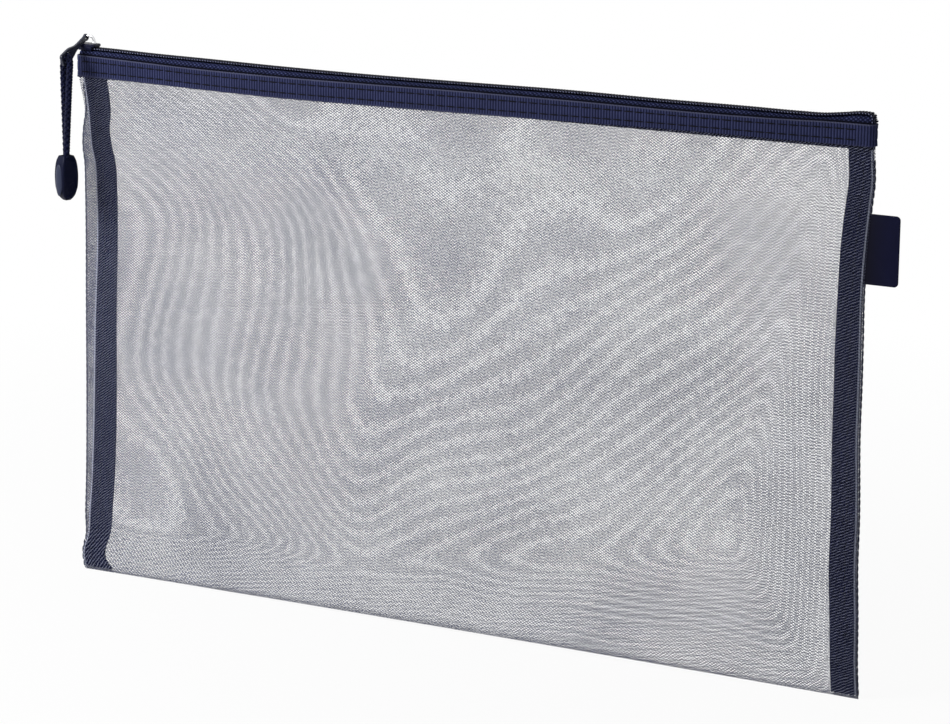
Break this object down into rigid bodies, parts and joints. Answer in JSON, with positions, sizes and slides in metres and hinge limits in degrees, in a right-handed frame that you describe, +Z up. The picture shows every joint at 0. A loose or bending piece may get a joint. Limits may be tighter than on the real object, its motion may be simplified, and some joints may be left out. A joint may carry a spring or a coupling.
{
  "type": "zip document wallet",
  "caption": "Flat upright zip wallet of pale net cloth with navy ribbon, coil zip, corded zip pull and a plain side label, for loose A4 sheets.",
  "frame": {"origin": "middle of the flat of the bottom fold, on the surface the wallet stands on", "axes": "+X along the zip towards the label side, -Y out of the front face, +Z up to the zip"},
  "size_m": [0.3545, 0.0248, 0.2248],
  "materials": {
    "mesh": "open diamond net, pale grey",
    "binding": "twill tape, navy",
    "ribbon": "ribbed ribbon, navy",
    "zip_tape": "woven tape, dark navy",
    "zip_coil": "nylon coil, dark navy",
    "label": "soft matt tab, dark navy",
    "slider_enamel": "enamelled die casting, navy",
    "nickel": "bright nickel plate",
    "tab_enamel": "dark grey enamel",
    "cord": "round braid, navy",
    "grip": "moulded, satin navy"
  },
  "bodies": {
    "wallet": {"front_mesh": "mesh", "rear_mesh": "mesh", "bottom_fold": "mesh", "left_seam": "mesh", "right_seam": "mesh", "left_side_binding": "binding", "right_side_binding": "binding", "front_ribbon": "ribbon", "rear_ribbon": "ribbon", "front_zip_tape": "zip_tape", "rear_zip_tape": "zip_tape", "front_zip_coil": "zip_coil", "rear_zip_coil": "zip_coil", "side_label": "label"},
    "slider": {"slider_body": "slider_enamel", "slider_bridge": "nickel"},
    "tab": {"pull_tab": "tab_enamel"},
    "pull": {"pull_cord": "cord", "cord_grip": "grip"}
  },
  "joints": [
    {"name": "slider_slide", "type": "slide", "parent": "wallet", "child": "slider", "axis": [1, 0, 0], "range_m": [0, 0.312], "deforming": ["front_zip_coil", "rear_zip_coil"]},
    {"name": "tab_swing", "type": "hinge", "parent": "slider", "child": "tab", "pos_m": [-0.1662, 0, 0.2221], "axis": [-1, 0, 0], "range_deg": [0, 225]},
    {"name": "cord_swing", "type": "hinge", "parent": "tab", "child": "pull", "pos_m": [-0.16876, -0.01207, 0.21541], "axis": [-0.983, 0.1618, 0.0873], "range_deg": [0, 130]}
  ]
}
